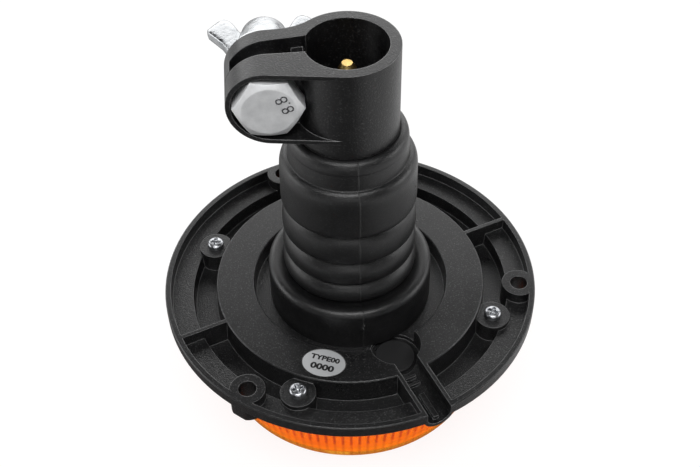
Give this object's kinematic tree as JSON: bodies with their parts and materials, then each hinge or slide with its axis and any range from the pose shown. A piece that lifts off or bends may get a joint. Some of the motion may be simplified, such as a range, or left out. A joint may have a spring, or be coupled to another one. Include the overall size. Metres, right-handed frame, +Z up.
{
  "type": "warning light",
  "caption": "Round amber warning light with a black housing, a flexible rubber stem and a clamp socket for a pole, turned over onto its lens.",
  "frame": {"origin": "centre of the lens's flat end face, the lowest point as the light lies turned over", "axes": "+Z up from the lens end to the mouth of the pole socket; the clamp ears point along -X, and the clamp bolt's head faces -Y. In service the light stands the other way up, on a pole that enters the socket"},
  "size_m": [0.126, 0.126, 0.1393],
  "materials": {
    "black_plastic": "fine satin grain",
    "amber_plastic": "clear amber, ribbed inside",
    "black_rubber": "satin",
    "zinc_steel": "zinc plated",
    "brass": "turned",
    "spring_steel": "drawn wire",
    "sheet_aluminium": "mill",
    "board": "white solder mask",
    "led_package": "clear over yellow",
    "bright_plastic": "metallised",
    "driver_plastic": "moulded",
    "white_plastic": "satin",
    "lead_cover": "satin",
    "label_film": "silver print film",
    "insulator": "moulded"
  },
  "bodies": {
    "base": {"base_housing": "black_plastic", "lens": "amber_plastic", "lens_gasket": "black_rubber", "cover_screws": "zinc_steel", "cable_plug": "black_rubber", "oval_label": "label_film", "rubber_stem_lower": "black_rubber", "stem_insert": "zinc_steel", "stem_retainer": "zinc_steel", "stem_screws": "zinc_steel", "heat_sink": "sheet_aluminium", "led_board": "board", "board_screws": "zinc_steel", "leds": "led_package", "reflector": "bright_plastic", "driver_parts": "driver_plastic", "lead_connector": "white_plastic", "leads_lower": "lead_cover"},
    "neck": {"rubber_stem_upper": "black_rubber", "leads_upper": "lead_cover"},
    "socket": {"pole_socket": "black_plastic", "clamp_bolt": "zinc_steel", "contact_holder": "insulator", "contact_terminal": "brass", "contact_spring": "spring_steel", "ground_contact": "spring_steel"},
    "washer": {"clamp_washer": "zinc_steel"},
    "nut": {"wing_nut": "zinc_steel"},
    "contact": {"contact_pin": "brass"}
  },
  "joints": [
    {"name": "stem_bend_sideways", "type": "hinge", "parent": "base", "child": "neck", "pos_m": [0, 0, 0.0625], "axis": [1, 0, 0], "range_deg": [-25, 25], "stiffness_Nm_per_rad": 2.5, "deforming": ["rubber_stem_lower", "rubber_stem_upper", "leads_lower", "leads_upper"]},
    {"name": "stem_bend_lengthways", "type": "hinge", "parent": "neck", "child": "socket", "pos_m": [0, 0, 0.0825], "axis": [0, 1, 0], "range_deg": [-25, 25], "stiffness_Nm_per_rad": 2.5, "deforming": ["rubber_stem_lower", "rubber_stem_upper", "leads_lower", "leads_upper"]},
    {"name": "nut_travel", "type": "slide", "parent": "socket", "child": "washer", "axis": [0, 1, 0], "range_m": [0, 0.00525]},
    {"name": "nut_turn", "type": "hinge", "parent": "washer", "child": "nut", "pos_m": [-0.0231, 0.0105, 0.1271], "axis": [0, 1, 0], "range_deg": [0, 1080]},
    {"name": "contact_press", "type": "slide", "parent": "socket", "child": "contact", "axis": [0, 0, 1], "range_m": [-0.003, 0], "stiffness_N_per_m": 300, "springref_m": 0.002, "deforming": ["contact_spring"]}
  ],
  "couplings": [
    {"joint": "nut_turn", "follows": "nut_travel", "rad_per_m": 3590.4}
  ]
}
